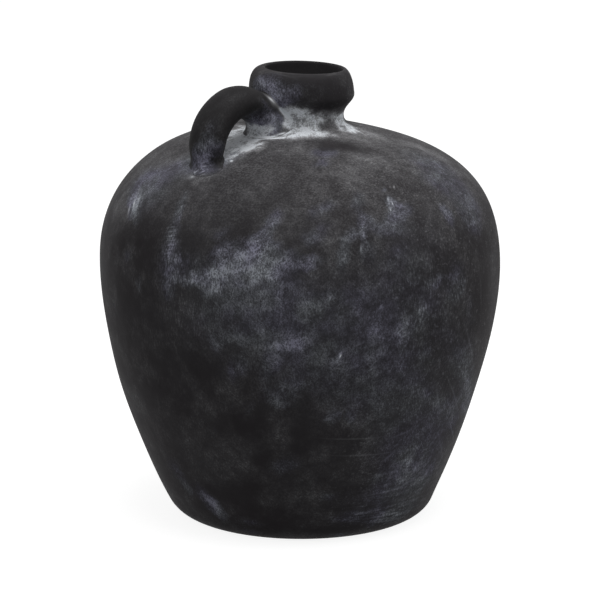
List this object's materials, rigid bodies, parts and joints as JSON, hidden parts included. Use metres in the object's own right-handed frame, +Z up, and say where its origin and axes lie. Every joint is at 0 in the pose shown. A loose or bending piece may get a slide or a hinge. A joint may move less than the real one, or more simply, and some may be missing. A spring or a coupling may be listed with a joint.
{
  "type": "clay jug",
  "caption": "Round-bellied black clay jug with a short neck, a thick rolled collar, an open mouth and a small loop handle on the shoulder.",
  "frame": {"origin": "centre of the round resting face, on the jug's axis", "axes": "+Z up along the jug's axis, -X towards the handle"},
  "size_m": [0.292, 0.292, 0.3296],
  "materials": {
    "pot_clay": "matte smoke-blackened earthenware with a pale blue-grey patina in smudges and scratches",
    "handle_clay": "matte smoke-blackened earthenware, smoother where it is held"
  },
  "bodies": {
    "root": {"base_slab": "pot_clay", "lower_body": "pot_clay", "upper_body": "pot_clay", "neck_ring": "pot_clay", "collar_ring": "pot_clay", "handle_strap": "handle_clay", "upper_handle_root": "handle_clay", "lower_handle_root": "handle_clay"}
  },
  "joints": []
}
